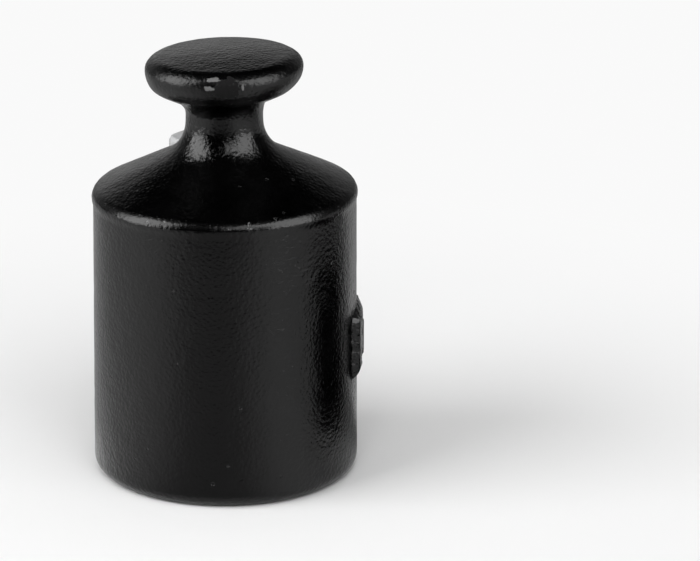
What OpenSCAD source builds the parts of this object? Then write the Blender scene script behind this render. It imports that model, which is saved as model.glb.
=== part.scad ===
// Cast iron knob weight of 1 kg: one casting, trimmed with lead shot under a brass disc and a lead seal.
// Millimetres, +Z up. The origin is the centre of the foot, and +X leaves through the raised pad.

/* [Body] */
// Diameter of the body at the foot
body_d = 52.6; // [50:0.2:56]
// Height from the foot to the top of the shoulder's edge
body_h = 58.6; // [56:0.2:59.8]
// How far the wall draws in from foot to shoulder, so that the pattern leaves the sand
wall_draft = 0.3; // [0:0.1:0.8]
// Radius of the rounded edge of the foot
foot_round = 3; // [1:0.2:4]
// Radius of the bead round the shoulder's edge
bead_round = 2.3; // [1:0.1:2.6]
// How far the bead stands out from the wall
bead_proud = 0.25; // [0:0.05:0.6]

/* [Shoulder and neck] */
// Slope of the shoulder, in degrees from level
shoulder_slope = 26; // [22:1:30]
// Diameter of the neck at its thinnest
neck_d = 15.4; // [14:0.2:17]
// Radius of the hollow curve from the shoulder into the neck
shoulder_fillet = 7.5; // [5:0.1:8]
// Radius of the hollow curve from the neck into the knob
knob_fillet = 3.5; // [2:0.1:4]

/* [Knob] */
// Diameter of the knob
knob_d = 31.2; // [29:0.2:34]
// Height of the knob's widest line above the foot
knob_z = 82; // [81:0.2:86]
// Radius of the knob's rim below its widest line
rim_round = 5; // [4:0.1:5.5]
// Radius of the knob's rim above its widest line
rim_top_round = 2.6; // [2:0.1:3.5]
// Slope of the knob's underside, in degrees from level
knob_slope = 26; // [24:1:30]
// How far the crown rises above the rim
crown_rise = 1.1; // [0.6:0.1:2]

/* [Raised pad] */
// Width of the pad, measured straight across
pad_w = 16; // [12:0.5:20]
// Height of the pad at its middle
pad_h = 16.6; // [15:0.2:20]
// Height of the pad's straight upright sides
pad_side_h = 11.6; // [9:0.2:13]
// Height of the pad's centre above the foot
pad_z = 27.4; // [22:0.2:36]
// How far the pad stands out from the wall
pad_proud = 1.6; // [1.2:0.1:2]
// Height of the pad's face before it rounds over towards its ends
pad_flat_h = 5; // [4:0.5:7]
// Radius of that rounding
pad_end_round = 8; // [7:0.5:9]
// Width of the raised border at the pad's sides
pad_border = 1.2; // [0.8:0.1:2]
// Height of the sunk field inside the border, at its middle
pad_field_h = 11.4; // [9:0.2:12]
// Depth of the sunk field
pad_sink = 0.25; // [0.2:0.05:0.6]

/* [Adjusting cavity] */
// Distance from the weight's axis to the cavity's axis
cavity_offset = 16.5; // [16.5:0.1:17]
// Direction of the cavity, in degrees round from the pad
cavity_turn = 112; // [90:1:150]
// Diameter of the mouth, which the seal fills
mouth_d = 10; // [8:0.5:10]
// Depth of the disc's ledge below the shoulder's edge
ledge_depth = 2.1; // [1.6:0.1:4]
// Diameter of the throat below the ledge
throat_d = 7.6; // [6:0.2:8]
// Length of the throat
throat_h = 2.4; // [1.5:0.1:4]
// Diameter of the chamber that holds the shot
chamber_d = 11; // [8:0.5:12]
// Depth of the chamber below the throat
chamber_h = 26; // [16:1:34]

/* [Seal and shot] */
// Thickness of the brass closing disc
disc_t = 1; // [0.8:0.1:1.4]
// Gap round the disc, so that it drops to its ledge
disc_gap = 0.1; // [0.05:0.05:0.2]
// Diameter of the disc's lifting hole
disc_hole_d = 1.6; // [1:0.2:2.4]
// Depth of the groove that the lead is driven into
groove_depth = 0.7; // [0.4:0.1:1]
// Height of the groove
groove_h = 1.2; // [0.8:0.1:1.6]
// How far the lead stands above the shoulder, at the middle of the mouth
seal_proud = 2.2; // [1:0.1:3]
// Diameter of a shot
shot_d = 3; // [2.5:0.1:4]
// Layers of shot in the chamber
shot_layers = 6; // [3:1:8]

/* [Hidden] */
$fn = 96;

foot_r = body_d / 2;
wall_top_r = foot_r - wall_draft;
neck_r = neck_d / 2;

// The shoulder leaves the bead where it touches the bead's circle
bead = [wall_top_r + bead_proud - bead_round, body_h - bead_round];
shoulder_foot = bead + bead_round * [sin(shoulder_slope), cos(shoulder_slope)];

// Centre of the hollow curve that touches both the shoulder and the neck, and its lower end
flare = [
    neck_r + shoulder_fillet,
    shoulder_z(neck_r + shoulder_fillet) + shoulder_fillet / cos(shoulder_slope)
];
flare_foot = flare - shoulder_fillet * [sin(shoulder_slope), cos(shoulder_slope)];

// Centre of the rim's lower curve, and where the underside leaves it
rim = [knob_d / 2 - rim_round, knob_z];
rim_foot = rim + rim_round * [sin(knob_slope), -cos(knob_slope)];

// Centre of the rim's upper curve, the crown that touches it, and where they meet
rim_top = [knob_d / 2 - rim_top_round, knob_z];
crown_top = knob_z + rim_top_round + crown_rise;
crown_r = (pow(rim_top.x, 2) + pow(rim_top_round + crown_rise, 2) - pow(rim_top_round, 2))
    / (2 * crown_rise);
crown = [0, crown_top - crown_r];
crown_foot = rim_top + rim_top_round * (rim_top - crown) / (crown_r - rim_top_round);

// Centre of the hollow curve that touches both the neck and the knob's underside, and its upper end
collar = [
    neck_r + knob_fillet,
    underside_z(neck_r + knob_fillet) - knob_fillet / cos(knob_slope)
];
collar_top = collar + knob_fillet * [-sin(knob_slope), cos(knob_slope)];

// The pad's root lies inside the wall
pad_bow = (pad_h - pad_side_h) / 2;
pad_face_r = foot_r - wall_draft * pad_z / body_h + pad_proud;
pad_root_x = 0.8 * foot_r;

// Levels inside the adjusting cavity. The mouth's cutter ends above the highest point of its rim
cutter_spare = 1;
disc_to_groove = 0.4;
mouth_top = shoulder_z(cavity_offset - mouth_d / 2) + cutter_spare;
ledge_z = body_h - ledge_depth;
throat_z = ledge_z - throat_h;
chamber_r = chamber_d / 2;
chamber_floor = throat_z - chamber_h;
bowl_z = chamber_floor + chamber_r;
groove_z = ledge_z + disc_t + disc_to_groove;
seal_top = shoulder_z(cavity_offset) + seal_proud;

// Each hammered face of the seal: the direction it falls towards, round from the pad, its slope in
// degrees, and how far above the seal's top it crosses the cavity's axis
seal_faces = [
    [112, 8, 0],
    [205, 15, 0.35],
    [186, 34, 2.3],
    [20, 17, 0.4],
    [60, 24, 0.9],
    [142, 21, 0.5],
    [94, 34, 2.1]
];
hammer_size = 20;

// Shot lie in the closest packing of equal balls, with a hair's breadth between them and off the wall
shot_gap = 0.02;
wall_gap = 0.005;
shot_r = shot_d / 2;
shot_pitch = shot_d + shot_gap;
layer_pitch = shot_pitch * sqrt(2 / 3);
shot_reach = chamber_r - shot_r - wall_gap;
shot_rows = ceil(chamber_d / shot_pitch);

// Height of the shoulder's slope at a radius
function shoulder_z(r) = shoulder_foot.y + (shoulder_foot.x - r) * tan(shoulder_slope);

// Height of the knob's underside at a radius
function underside_z(r) = rim_foot.y - (rim_foot.x - r) * tan(knob_slope);

// Centre of one ball: column, row and layer of the packing
function shot_centre(i, j, k) = [
    shot_pitch * (i + j / 2 + (k % 2) / 2),
    shot_pitch * sqrt(3) / 2 * (j + (k % 2) / 3),
    chamber_floor + shot_r + wall_gap + k * layer_pitch
];

// Whether a ball there clears the chamber's wall and its round floor
function shot_fits(c) = norm([c.x, c.y, min(0, c.z - bowl_z)]) <= shot_reach;

// Outline of the body, right of the axis: drafted wall, rounded foot, bead and sloping shoulder
module body_profile() {
    polygon([
        [0, 0],
        [foot_r - foot_round, 0],
        [foot_r - foot_round, foot_round],
        [foot_r, foot_round],
        [wall_top_r, bead.y],
        bead,
        shoulder_foot,
        flare_foot,
        [0, flare_foot.y]
    ]);
    translate([foot_r - foot_round, foot_round]) circle(r = foot_round);
    translate(bead) circle(r = bead_round);
}

// Outline of the neck, which flares by a hollow curve at each end
module neck_profile() {
    translate([0, flare_foot.y]) square([neck_r, collar_top.y - flare_foot.y]);
    difference() {
        translate([0, flare_foot.y]) square([flare_foot.x, flare.y - flare_foot.y]);
        translate(flare) circle(r = shoulder_fillet);
    }
    difference() {
        translate([0, collar.y]) square([collar_top.x, collar_top.y - collar.y]);
        translate(collar) circle(r = knob_fillet);
    }
}

// Outline of the knob: sloping underside, rounded rim and a crown that runs into the rim without an edge
module knob_profile() {
    polygon([
        [0, collar_top.y],
        collar_top,
        rim_foot,
        rim,
        rim_top,
        crown_foot,
        [0, crown_foot.y]
    ]);
    intersection() {
        translate(rim) circle(r = rim_round);
        translate([0, knob_z - rim_round]) square([knob_d, rim_round]);
    }
    translate(rim_top) circle(r = rim_top_round);
    intersection() {
        translate(crown) circle(r = crown_r);
        translate([0, crown_foot.y]) square([crown_foot.x, crown_top]);
    }
}

// A block that leaves the wall along X. Its outline has upright sides and ends bowed by arcs
module pad_block(width, height) {
    bow_r = (pow(width / 2, 2) + pow(pad_bow, 2)) / (2 * pad_bow);
    translate([pad_root_x, 0, pad_z]) rotate([90, 0, 90]) linear_extrude(height = foot_r)
        intersection() {
            square([width, height], center = true);
            translate([0, height / 2 - bow_r]) circle(r = bow_r);
            translate([0, bow_r - height / 2]) circle(r = bow_r);
        }
}

// A barrel that follows the body's curve and rounds over above and below, at a depth under the face
module pad_barrel(depth) {
    barrel_r = pad_face_r - depth;
    round_r = pad_end_round - depth;
    round_x = pad_face_r - pad_end_round;
    translate([0, 0, pad_z]) rotate_extrude() {
        translate([0, -pad_flat_h / 2]) square([barrel_r, pad_flat_h]);
        translate([0, -pad_flat_h / 2 - round_r]) square([round_x, pad_flat_h + 2 * round_r]);
        translate([round_x, pad_flat_h / 2]) circle(r = round_r);
        translate([round_x, -pad_flat_h / 2]) circle(r = round_r);
    }
}

// The raised pad: a block with the barrel's face, and a field sunk inside its border
module pad() {
    difference() {
        intersection() {
            pad_block(pad_w, pad_h);
            pad_barrel(0);
        }
        difference() {
            pad_block(pad_w - 2 * pad_border, pad_field_h);
            pad_barrel(pad_sink);
        }
    }
}

// Puts what follows on the cavity's axis
module at_cavity() {
    rotate([0, 0, cavity_turn]) translate([cavity_offset, 0, 0]) children();
}

// The mouth with its groove, as the lead fills it up to a level
module mouth_fill(top) {
    translate([0, 0, ledge_z]) cylinder(d = mouth_d, h = top - ledge_z);
    translate([0, 0, groove_z]) cylinder(d = mouth_d + 2 * groove_depth, h = groove_h);
}

// The cored hollow: grooved mouth, narrow throat and a round-floored chamber
module cavity() {
    mouth_fill(mouth_top);
    translate([0, 0, throat_z]) cylinder(d = throat_d, h = throat_h);
    translate([0, 0, bowl_z]) cylinder(r = chamber_r, h = throat_z - bowl_z);
    translate([0, 0, bowl_z]) sphere(r = chamber_r);
}

// Body, shoulder, neck, knob and pad are one casting, hollow only where the cavity is
module weight_casting() {
    color([0.05, 0.05, 0.055]) difference() {
        union() {
            rotate_extrude() {
                body_profile();
                neck_profile();
                knob_profile();
            }
            pad();
        }
        at_cavity() cavity();
    }
}

// Loose lead shot, as separate balls that rest in the chamber's round floor
module adjusting_shot() {
    color([0.42, 0.43, 0.45]) at_cavity()
        for (k = [0:shot_layers - 1], j = [-shot_rows:shot_rows], i = [-shot_rows:shot_rows])
            if (shot_fits(shot_centre(i, j, k)))
                translate(shot_centre(i, j, k)) sphere(r = shot_r);
}

// The disc on its ledge, with the hole that it is lifted out by
module closing_disc() {
    color([0.75, 0.6, 0.28]) at_cavity() translate([0, 0, ledge_z]) difference() {
        cylinder(d = mouth_d - 2 * disc_gap, h = disc_t);
        translate([0, 0, -disc_t]) cylinder(d = disc_hole_d, h = 3 * disc_t);
    }
}

// The lead driven in over the disc and left proud, with a top of flat hammered faces
module lead_seal() {
    color([0.68, 0.69, 0.7]) at_cavity() difference() {
        mouth_fill(seal_top);
        translate([0, 0, ledge_z - disc_t]) cylinder(d = mouth_d + disc_gap, h = 2 * disc_t);
        for (face = seal_faces)
            translate([0, 0, seal_top + face[2]]) rotate([0, face[1], face[0] - cavity_turn])
                translate([-hammer_size / 2, -hammer_size / 2, 0]) cube(hammer_size);
    }
}

weight_casting();
adjusting_shot();
closing_disc();
lead_seal();
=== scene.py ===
# %% [markdown]
# # A cast iron scale weight
#
# This lesson dresses a knob weight of 1 kg. The construction comes in as a fixed frame: an iron
# casting with an adjusting cavity, the loose shot in it, a brass disc over the shot and the lead
# that seals them in. Nothing of the frame is moved here. What is made here is what the eye meets: a
# black painted casting with the pebbly skin of the sand that it was cast in, and a dab of hammered
# lead.

# %% Load the frame
import math

import bmesh
import bpy
import numpy as np
from mathutils import Matrix, Vector, noise


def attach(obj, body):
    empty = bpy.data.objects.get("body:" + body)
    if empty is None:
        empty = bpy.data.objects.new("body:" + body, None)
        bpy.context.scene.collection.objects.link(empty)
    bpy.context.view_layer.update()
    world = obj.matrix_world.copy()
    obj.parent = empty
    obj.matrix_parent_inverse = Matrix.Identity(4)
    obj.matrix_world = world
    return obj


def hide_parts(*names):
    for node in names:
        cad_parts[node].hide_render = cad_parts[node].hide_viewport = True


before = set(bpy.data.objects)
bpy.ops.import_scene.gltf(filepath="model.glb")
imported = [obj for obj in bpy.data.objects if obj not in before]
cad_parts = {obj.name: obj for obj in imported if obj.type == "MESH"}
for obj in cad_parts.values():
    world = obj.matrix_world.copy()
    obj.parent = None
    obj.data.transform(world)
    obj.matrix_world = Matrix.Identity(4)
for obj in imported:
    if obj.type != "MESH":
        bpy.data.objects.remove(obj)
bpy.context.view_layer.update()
print("nodes", sorted(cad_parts))

# %% [markdown]
# ## Units and small helpers
#
# Blender works in metres and a weight of this size is drawn in millimetres, so sizes are written in
# millimetres and turned into metres in one place. Curved outlines are short lists of points that an
# arc helper works out, because the eye judges a turned piece by how evenly its curves run.

# %% Units and helpers
MM = 0.001


def arc(centre, radius, start, end, count):
    """Points on an arc in the plane of radius and height, angles in radians."""
    return [
        (centre[0] + radius * math.cos(a), centre[1] + radius * math.sin(a))
        for a in np.linspace(start, end, count)
    ]


def smooth(x):
    """A soft step from 0 to 1 as x goes from 0 to 1."""
    x = np.clip(x, 0.0, 1.0)
    return x * x * (3 - 2 * x)


def coordinates(mesh):
    """A mesh's points as rows of x, y and z."""
    flat = np.zeros(len(mesh.vertices) * 3)
    mesh.vertices.foreach_get("co", flat)
    return flat.reshape(-1, 3)


def set_coordinates(mesh, rows):
    """Writes rows of x, y and z back to a mesh."""
    mesh.vertices.foreach_set("co", np.asarray(rows, np.float32).ravel())
    mesh.update()


def new_object(name, mesh):
    """Links an object that sits at the origin, with its place in its mesh."""
    obj = bpy.data.objects.new(name, mesh)
    bpy.context.scene.collection.objects.link(obj)
    return obj


def triangles(mesh):
    """How many triangles a mesh comes to."""
    mesh.calc_loop_triangles()
    return len(mesh.loop_triangles)


# %% [markdown]
# ## Building node trees in code
#
# Materials and Geometry Nodes are both trees. A tree could be drawn by hand in the editor, but then
# the lesson would not carry it, so small helpers add a node with its settings and feed its inputs
# in one line each.

# %% Node helpers
def feed(tree, socket, value):
    """Links an input to another node's output, or gives it a plain value."""
    if isinstance(value, bpy.types.NodeSocket):
        tree.links.new(value, socket)
    else:
        socket.default_value = value


def fill(tree, node, **inputs):
    """Feeds a node's inputs by name, with spaces as underscores."""
    for key, value in inputs.items():
        wanted = key.replace("_", " ").lower()
        feed(tree, next(s for s in node.inputs if s.enabled and s.name.lower() == wanted), value)


def add_node(tree, kind, settings=None, **inputs):
    """Adds a node, applies its settings and fills its inputs."""
    node = tree.nodes.new(kind)
    for key, value in (settings or {}).items():
        setattr(node, key, value)
    fill(tree, node, **inputs)
    return node


def math_node(tree, operation, *values, clamp=False):
    """A Math node whose inputs are numbers or sockets, in order."""
    node = add_node(tree, "ShaderNodeMath", {"operation": operation, "use_clamp": clamp})
    for socket, value in zip(node.inputs, values):
        feed(tree, socket, value)
    return node.outputs[0]


def multiply(tree, first, second):
    """A product of numbers or sockets."""
    return math_node(tree, "MULTIPLY", first, second)


def vector_node(tree, operation, *values, output=0):
    """A Vector Math node whose inputs are vectors, numbers or sockets, in order."""
    node = add_node(tree, "ShaderNodeVectorMath", {"operation": operation})
    for socket, value in zip([s for s in node.inputs if s.enabled], values):
        feed(tree, socket, value)
    return node.outputs[output]


def ramp(tree, factor, stops):
    """A ramp from (position, grey) stops."""
    node = tree.nodes.new("ShaderNodeValToRGB")
    elements = node.color_ramp.elements
    while len(elements) < len(stops):
        elements.new(0.5)
    for element, (position, grey) in zip(elements, stops):
        element.position = position
        element.color = (grey, grey, grey, 1)
    feed(tree, node.inputs[0], factor)
    return node.outputs[0]


def mix_colours(tree, factor, first, second):
    """Blends two colours or fields by a mask."""
    node = add_node(tree, "ShaderNodeMix", {"data_type": "RGBA"})
    for socket, value in zip((node.inputs[0], node.inputs[6], node.inputs[7]), (factor, first, second)):
        feed(tree, socket, (*value, 1) if isinstance(value, tuple) else value)
    return node.outputs[2]


def mix_values(tree, factor, first, second):
    """Blends two numbers or fields by a mask."""
    node = tree.nodes.new("ShaderNodeMix")
    for socket, value in zip(node.inputs[:1] + node.inputs[2:4], (factor, first, second)):
        feed(tree, socket, value)
    return node.outputs[0]


def map_range(tree, value, low, high, to_low=0.0, to_high=1.0, kind="SMOOTHSTEP"):
    """Maps a field from one span to another, with soft ends."""
    node = add_node(tree, "ShaderNodeMapRange", {"interpolation_type": kind})
    for socket, number in zip(node.inputs, (value, low, high, to_low, to_high)):
        feed(tree, socket, number)
    return node.outputs[0]


def split(tree, vector):
    """A vector's numbers, by the names X, Y and Z."""
    return add_node(tree, "ShaderNodeSeparateXYZ", Vector=vector).outputs


def object_spot(tree):
    """The shaded point in its object's own coordinates."""
    return tree.nodes.new("ShaderNodeTexCoord").outputs["Object"]


def empty_tree(owner):
    """The node tree of a material or a world, with nothing in it yet."""
    owner.use_nodes = True
    owner.node_tree.nodes.clear()
    return owner.node_tree


def new_material(name):
    """A node material with its output and one Principled BSDF."""
    material = bpy.data.materials.new(name)
    tree = empty_tree(material)
    shader = tree.nodes.new("ShaderNodeBsdfPrincipled")
    add_node(tree, "ShaderNodeOutputMaterial", Surface=shader.outputs[0])
    return material, tree, shader


# %% [markdown]
# ## The camera
#
# A camera is a place and three turns. It stands a little under 0.9 m from the weight, looks down on
# it by 18 degrees and holds the weight left of the middle. The turns could be given as Euler
# angles, but then their order matters, so the camera's own axes are worked out and put in its
# matrix.

# %% Camera
CAMERA_DISTANCE = 888.9 * MM
CAMERA_ELEVATION = math.radians(18.308)
CAMERA_AIM_HEIGHT = 40 * MM
CAMERA_YAW = math.radians(1.6735)
CAMERA_PITCH = math.radians(18.405)
CAMERA_ROLL = math.radians(0.24)
IMAGE_WIDTH = 700
FOCAL_PIXELS = 4500
SENSOR_WIDTH = 36

forward = Vector((
    math.sin(CAMERA_YAW) * math.cos(CAMERA_PITCH),
    math.cos(CAMERA_YAW) * math.cos(CAMERA_PITCH),
    -math.sin(CAMERA_PITCH),
))
level_right = Vector((math.cos(CAMERA_YAW), -math.sin(CAMERA_YAW), 0))
level_up = level_right.cross(forward)
right = level_right * math.cos(CAMERA_ROLL) + level_up * math.sin(CAMERA_ROLL)
up = level_up * math.cos(CAMERA_ROLL) - level_right * math.sin(CAMERA_ROLL)

camera = bpy.data.objects.new("camera", bpy.data.cameras.new("camera"))
bpy.context.scene.collection.objects.link(camera)
camera.data.sensor_width = SENSOR_WIDTH
camera.data.lens = FOCAL_PIXELS / IMAGE_WIDTH * SENSOR_WIDTH
camera.data.clip_start = 0.05
camera.data.clip_end = 20
place = Matrix((right, up, -forward)).transposed().to_4x4()
place.translation = (
    0,
    -CAMERA_DISTANCE * math.cos(CAMERA_ELEVATION),
    CAMERA_AIM_HEIGHT + CAMERA_DISTANCE * math.sin(CAMERA_ELEVATION),
)
camera.matrix_world = place
bpy.context.scene.camera = camera
print("lens mm", round(camera.data.lens, 1), "camera mm", [round(x / MM, 1) for x in place.translation])

# %% [markdown]
# ## The turned outline
#
# Body, shoulder, neck and knob are one turned shape, so one half outline says it all: a flat foot
# with a rounded edge, a wall that draws in a hair so that the pattern leaves the sand, a bead, a
# straight sloping shoulder, a waist that flares at both ends, and a knob with a tight upper rim
# under a shallow crown. Each arc touches its neighbours, and the places where they touch are worked
# out instead of guessed. Only the rim's upper arc is then stretched sideways a little, because the
# real rim rolls over into the crown less evenly than a circle does.

# %% Outline
BODY_R = 26.3
BODY_H = 58.6
WALL_DRAFT = 0.3
FOOT_ROUND = 3
BEAD_ROUND = 2.3
BEAD_PROUD = 0.25
SHOULDER_SLOPE = math.radians(26)
NECK_R = 7.7
SHOULDER_FILLET = 7.5
KNOB_FILLET = 3.5
KNOB_R = 15.6
KNOB_Z = 82
RIM_ROUND = 5
RIM_TOP_ROUND = 2.7
RIM_TOP_WIDTH = 3.5
KNOB_SLOPE = math.radians(26)
CROWN_RISE = 0.75

bead = (BODY_R - WALL_DRAFT + BEAD_PROUD - BEAD_ROUND, BODY_H - BEAD_ROUND)
shoulder_foot = (
    bead[0] + BEAD_ROUND * math.sin(SHOULDER_SLOPE),
    bead[1] + BEAD_ROUND * math.cos(SHOULDER_SLOPE),
)


def shoulder_z(radius):
    """Height of the shoulder's slope at a radius."""
    return shoulder_foot[1] + (shoulder_foot[0] - radius) * math.tan(SHOULDER_SLOPE)


flare_x = NECK_R + SHOULDER_FILLET
flare = (flare_x, shoulder_z(flare_x) + SHOULDER_FILLET / math.cos(SHOULDER_SLOPE))
rim = (KNOB_R - RIM_ROUND, KNOB_Z)
rim_foot = (rim[0] + RIM_ROUND * math.sin(KNOB_SLOPE), rim[1] - RIM_ROUND * math.cos(KNOB_SLOPE))
rim_top = (KNOB_R - RIM_TOP_WIDTH, KNOB_Z)
crown_top = KNOB_Z + RIM_TOP_ROUND + CROWN_RISE
crown_r = (rim_top[0] ** 2 + (RIM_TOP_ROUND + CROWN_RISE) ** 2 - RIM_TOP_ROUND**2) / (2 * CROWN_RISE)
crown_z = crown_top - crown_r
crown_angle = math.atan2(rim_top[1] - crown_z, rim_top[0])
collar_x = NECK_R + KNOB_FILLET
collar_z = rim_foot[1] - (rim_foot[0] - collar_x) * math.tan(KNOB_SLOPE)
collar_z -= KNOB_FILLET / math.cos(KNOB_SLOPE)

outline = [(0, 0)]
outline += arc((BODY_R - FOOT_ROUND, FOOT_ROUND), FOOT_ROUND, -math.pi / 2, 0, 12)
bead_start = -math.acos((BEAD_ROUND - BEAD_PROUD) / BEAD_ROUND)
outline += arc(bead, BEAD_ROUND, bead_start, math.pi / 2 - SHOULDER_SLOPE, 14)
outline += arc(flare, SHOULDER_FILLET, -math.pi / 2 - SHOULDER_SLOPE, -math.pi, 16)
outline += arc((collar_x, collar_z), KNOB_FILLET, math.pi, math.pi / 2 + KNOB_SLOPE, 10)
outline += arc(rim, RIM_ROUND, KNOB_SLOPE - math.pi / 2, 0, 14)
top_round = arc(rim_top, RIM_TOP_ROUND, 0, crown_angle, 12)[1:]
stretch = RIM_TOP_WIDTH / RIM_TOP_ROUND
outline += [(rim_top[0] + (radius - rim_top[0]) * stretch, z) for radius, z in top_round]
outline += arc((0, crown_z), crown_r, crown_angle, math.pi / 2, 12)[1:]
outline_length = sum(math.dist(a, b) for a, b in zip(outline, outline[1:]))
print("outline points", len(outline), "mm long", round(outline_length, 1), "top mm", round(crown_top, 2))

# %% [markdown]
# ## Turning the casting with Geometry Nodes
#
# A turned shape follows a rule, so Geometry Nodes can turn it: a flat grid is rolled up, its rows
# follow the outline and its columns go round the axis. A Screw modifier would do the same, but with
# the tree the spacing of the mesh is an input, and even squares matter here because the cast skin
# is pressed into them next.

# %% Lathe tree
def group_with(name, kind, inputs, outputs):
    """A node group. Each input and output has its default or, as text, the type of its socket."""
    group = bpy.data.node_groups.new(name, kind)
    for direction, sockets in (("INPUT", inputs), ("OUTPUT", outputs)):
        for label, value in sockets.items():
            plain = not isinstance(value, str)
            socket_type = "NodeSocket" + (type(value).__name__.title() if plain else value)
            socket = group.interface.new_socket(label, in_out=direction, socket_type=socket_type)
            if plain:
                socket.default_value = value
    return group, group.nodes.new("NodeGroupInput"), group.nodes.new("NodeGroupOutput")


def end_tree(tree, start, end, last):
    """Ends a Geometry Nodes tree with real geometry in the finish that it was given."""
    solid = add_node(tree, "GeometryNodeRealizeInstances", Geometry=last.outputs[0])
    finish = start.outputs["Finish"]
    dressed = add_node(tree, "GeometryNodeSetMaterial", Geometry=solid.outputs[0], Material=finish)
    fill(tree, end, geometry=dressed.outputs[0])
    return tree


def lathe_tree():
    """A tree that turns an outline in the XZ plane round the Z axis."""
    inputs = {"Geometry": "Geometry", "Rings": 10, "Columns": 10, "Weld": 0.0001, "Finish": "Material"}
    outputs = {"Geometry": "Geometry"}
    tree, start, end = group_with("turned_casting", "GeometryNodeTree", inputs, outputs)
    curve = add_node(tree, "GeometryNodeMeshToCurve", Mesh=start.outputs["Geometry"])
    grid = add_node(tree, "GeometryNodeMeshGrid", Size_X=1.0, Size_Y=1.0)
    fill(tree, grid, vertices_x=start.outputs["Columns"], vertices_y=start.outputs["Rings"])
    spot = tree.nodes.new("GeometryNodeInputPosition")
    parts = split(tree, spot.outputs[0])
    turn = multiply(tree, math_node(tree, "ADD", parts["X"], 0.5), 2 * math.pi)
    along = math_node(tree, "ADD", parts["Y"], 0.5, clamp=True)
    sample = add_node(tree, "GeometryNodeSampleCurve", {"mode": "FACTOR", "use_all_curves": True})
    fill(tree, sample, curves=curve.outputs[0], factor=along)
    rolled = add_node(tree, "ShaderNodeVectorRotate", {"rotation_type": "Z_AXIS"})
    fill(tree, rolled, vector=sample.outputs["Position"], angle=turn)
    placed = add_node(tree, "GeometryNodeSetPosition", Geometry=grid.outputs["Mesh"])
    fill(tree, placed, position=rolled.outputs[0])
    welded = add_node(tree, "GeometryNodeMergeByDistance", Geometry=placed.outputs[0])
    fill(tree, welded, distance=start.outputs["Weld"])
    shaded = add_node(tree, "GeometryNodeSetShadeSmooth", Geometry=welded.outputs[0])
    return end_tree(tree, start, end, shaded)


def bake(obj, modifier):
    """Keeps what a modifier makes as the object's plain mesh."""
    evaluated = obj.evaluated_get(bpy.context.evaluated_depsgraph_get())
    made = bpy.data.meshes.new_from_object(evaluated)
    obj.modifiers.remove(modifier)
    obj.data = made


def run_tree(obj, tree, **values):
    """Runs a Geometry Nodes tree on an object for good."""
    modifier = obj.modifiers.new(tree.name, "NODES")
    modifier.node_group = tree
    names = {s.name.lower(): s.identifier for s in tree.interface.items_tree if s.in_out == "INPUT"}
    for key, value in values.items():
        modifier[names[key.replace("_", " ")]] = value
    bpy.context.view_layer.update()
    bake(obj, modifier)


# %% [markdown]
# The outline goes in as a bare chain of edges. The spacing is about half a millimetre, fine enough
# for the pebbles of the skin and coarse enough to keep the piece light.

# %% Turn the casting
MESH_SPACING = 0.56
WELD = 0.02

chain = bpy.data.meshes.new("casting")
chain.from_pydata(
    [(radius * MM, 0, height * MM) for radius, height in outline],
    [(i, i + 1) for i in range(len(outline) - 1)],
    [],
)
painted_iron, paint_tree, paint_shader = new_material("painted_iron")
casting = new_object("casting", chain)
run_tree(
    casting,
    lathe_tree(),
    rings=round(outline_length / MESH_SPACING),
    columns=round(2 * math.pi * BODY_R / MESH_SPACING) + 1,
    weld=WELD * MM,
    finish=painted_iron,
)
print("turned", len(casting.data.vertices), "points", triangles(casting.data), "triangles")

# %% [markdown]
# An old casting is never quite true. The two halves of its mould sat a little askew, so the
# shoulder and the knob rise towards the pad's side by about a degree, and the knob's underside sits
# a trace to the left. The foot is dressed flat, so the skew fades out towards it.

# %% Skew
SKEW = 0.016
KNOB_SKEW = 0.011
SKEW_SPAN = (20, 58)
KNOB_SKEW_SPAN = (76, 82)
KNOB_SHIFT = 0.45
SHIFT_SPANS = (73.5, 76), (77, 81)


def step(value, span):
    """A soft step from 0 to 1 over a span."""
    return smooth((value - span[0]) / (span[1] - span[0]))


def skew(rows):
    """Lifts the casting's right side with height, and shifts the knob's underside."""
    out = rows.copy()
    x, z = rows[:, 0] / MM, rows[:, 2] / MM
    out[:, 2] += MM * SKEW * (x + BODY_R / 2) * step(z, SKEW_SPAN)
    out[:, 2] += MM * KNOB_SKEW * x * step(z, KNOB_SKEW_SPAN)
    out[:, 0] -= MM * KNOB_SHIFT * step(z, SHIFT_SPANS[0]) * (1 - step(z, SHIFT_SPANS[1]))
    return out


set_coordinates(casting.data, skew(coordinates(casting.data)))

# %% [markdown]
# ## The raised pad and its numeral
#
# The pad on the wall is where the founder puts the value. It is part of the casting, so it is
# raised out of the wall's own mesh and not stuck on: the squares under it are split finer, and each
# point moves outwards by a height that depends on its distance from the pad's outline. Its place
# holds a plain numeral 1, for 1 kg. Distance functions make this easy, because a soft cast edge is
# then just a soft step of the distance.

# %% Pad
PAD_W = 16
PAD_H = 16.6
PAD_BOW = 1.0
PAD_Z = 27.0
PAD_PROUD = 1.6
PAD_FLAT_H = 5
PAD_REACH = (7.5, 7.1)
PAD_SIDE_FLAT = (5.6, 4.2)
PAD_ROUNDING = 2.2
PAD_BORDER = 1.6
PAD_FIELD_H = 10.4
PAD_SINK = 0.4
PAD_DRAFT = 0.4
PAD_RAGGED = 0.16
PAD_LUMP = 1.3
NUMERAL_H = 6.6
NUMERAL_STROKE = 1.25
NUMERAL_RISE = 0.2
PAD_SIDE_SHORT = (1.2, 0.3)
PAD_REACH_RAGGED = 0.3
PAD_ROUND_LEAST = 0.3
PAD_PAST_MOST = 1.3
FLAG_FROM = (-2.0, 2.2)
FLAG_TO = (-0.1, 0.6)
NUMERAL_FOOT = 2.2
NUMERAL_CORNER = 0.2
REFINE_MARGIN = 1.2
ON_WALL = 0.9 * BODY_R


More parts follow.
